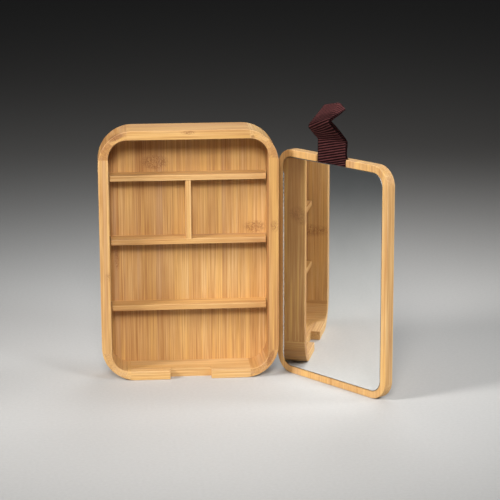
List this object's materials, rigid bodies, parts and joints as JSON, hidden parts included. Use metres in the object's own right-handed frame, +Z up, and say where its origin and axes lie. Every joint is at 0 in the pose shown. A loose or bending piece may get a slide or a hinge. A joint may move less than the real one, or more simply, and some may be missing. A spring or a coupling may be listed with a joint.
{
  "type": "vanity box with mirror",
  "caption": "Upright bamboo tray with shelves and a divider, and a lift-off lid that holds an inset mirror and a folded webbing pull strap.",
  "frame": {"origin": "middle of the tray's bottom face, on the surface it stands on", "axes": "+Z up; -Y is the tray's open front; +Y its back; +X towards the side where the lid stands"},
  "size_m": [0.283, 0.1374, 0.2836],
  "materials": {
    "bamboo": "edge-glued bamboo with a thin satin lacquer",
    "mirror": "silvered flat glass with a ground bevel",
    "tape": "white double-sided foam tape",
    "webbing": "ribbed dark brown webbing, folded double"
  },
  "bodies": {
    "tray": {"rail_left": "bamboo", "rail_right": "bamboo", "rail_top": "bamboo", "rail_bottom": "bamboo", "corner_top_left_side": "bamboo", "corner_top_left_end": "bamboo", "corner_top_right_side": "bamboo", "corner_top_right_end": "bamboo", "corner_bottom_left_side": "bamboo", "corner_bottom_left_end": "bamboo", "corner_bottom_right_side": "bamboo", "corner_bottom_right_end": "bamboo", "back_panel": "bamboo", "shelf_top": "bamboo", "shelf_middle": "bamboo", "shelf_bottom": "bamboo", "divider": "bamboo"},
    "lid": {"lid_board": "bamboo", "mirror_glass": "mirror", "mirror_tapes": "tape", "strap_tail": "webbing"},
    "strap": {"strap_loop": "webbing"}
  },
  "joints": [
    {"name": "lid_lift", "type": "slide", "parent": "tray", "child": "lid", "axis": [0, 0, 1], "range_m": [0, 0.25]},
    {"name": "strap_flop", "type": "hinge", "parent": "lid", "child": "strap", "pos_m": [0.13985, -0.05357, 0.2351], "axis": [0.6101, -0.7923, 0], "range_deg": [-60, 60], "stiffness_Nm_per_rad": 0.05}
  ]
}
